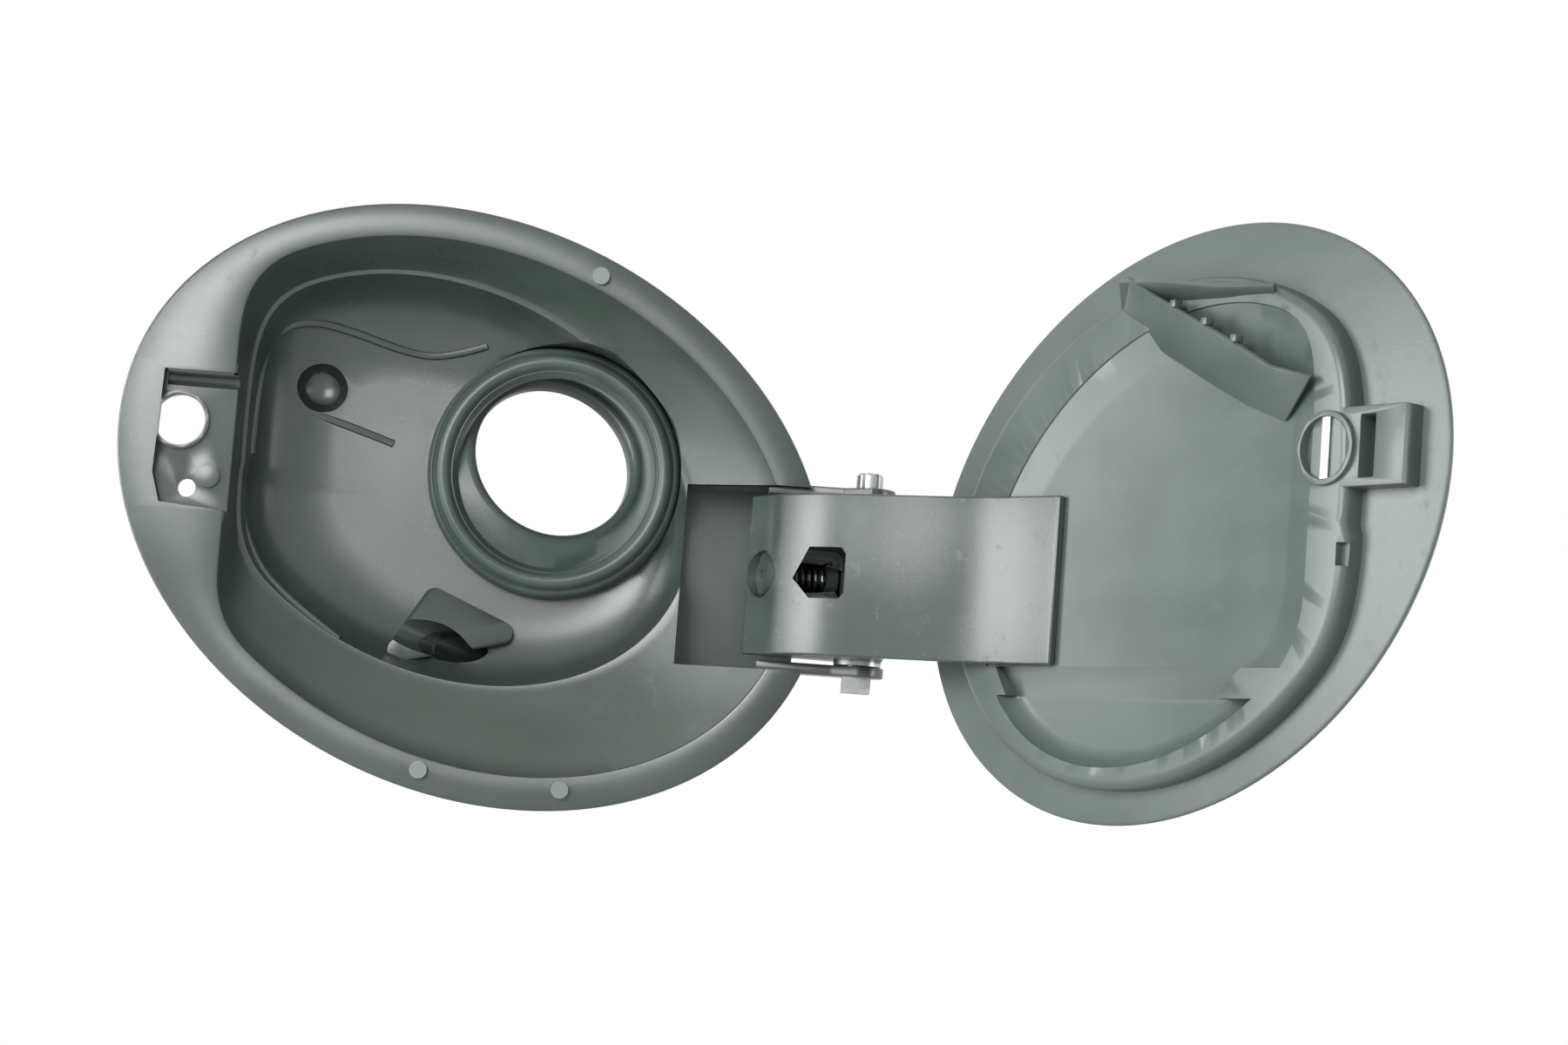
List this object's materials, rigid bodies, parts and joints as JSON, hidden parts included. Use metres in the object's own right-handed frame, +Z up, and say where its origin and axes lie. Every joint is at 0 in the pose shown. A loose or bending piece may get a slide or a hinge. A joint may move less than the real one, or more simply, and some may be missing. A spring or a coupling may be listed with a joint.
{
  "type": "car fuel door",
  "caption": "Moulded oval filler housing with a rubber neck boot, a drain and a latch hole, and an oval door that swings open on a gooseneck hinge arm.",
  "frame": {"origin": "centre of the oval flange on its front face, where the flange seats in the car body's opening", "axes": "+X to the right and +Z up as seen from outside the car, +Y into the car; the door stands open, turned on its pin at +X"},
  "size_m": [0.4033, 0.2553, 0.201],
  "materials": {
    "housing_plastic": "satin",
    "door_plastic": "satin",
    "boot_rubber": "satin",
    "seal_rubber": "matte",
    "steel": "brushed"
  },
  "bodies": {
    "housing": {"housing_shell": "housing_plastic", "housing_flange": "housing_plastic", "latch_plate": "housing_plastic", "hinge_bracket": "housing_plastic", "filler_boot": "boot_rubber", "neck_lip": "boot_rubber", "boot_retainer": "steel", "flange_seal": "seal_rubber", "bump_stop_top": "seal_rubber", "bump_stop_bottom": "seal_rubber", "bump_stop_left": "seal_rubber", "hinge_pin": "steel"},
    "door": {"door_skin": "door_plastic", "inner_panel": "door_plastic", "hinge_arm": "housing_plastic", "upper_bush": "steel", "lower_bush": "steel", "spring_plug": "housing_plastic", "detent_spring": "steel", "cap_holder": "door_plastic", "latch_catch": "door_plastic", "catch_clip": "steel"},
    "plunger": {"detent_plunger": "housing_plastic"}
  },
  "joints": [
    {"name": "door_hinge", "type": "hinge", "parent": "housing", "child": "door", "pos_m": [0.133, 0.0065, -0.016], "axis": [0, 0, 1], "range_deg": [-125.2, 0]},
    {"name": "plunger_slide", "type": "slide", "parent": "door", "child": "plunger", "axis": [-0.9738, -0.2276, 0], "range_m": [-0.0008, 0.0009], "stiffness_N_per_m": 400, "deforming": ["detent_spring"]}
  ]
}
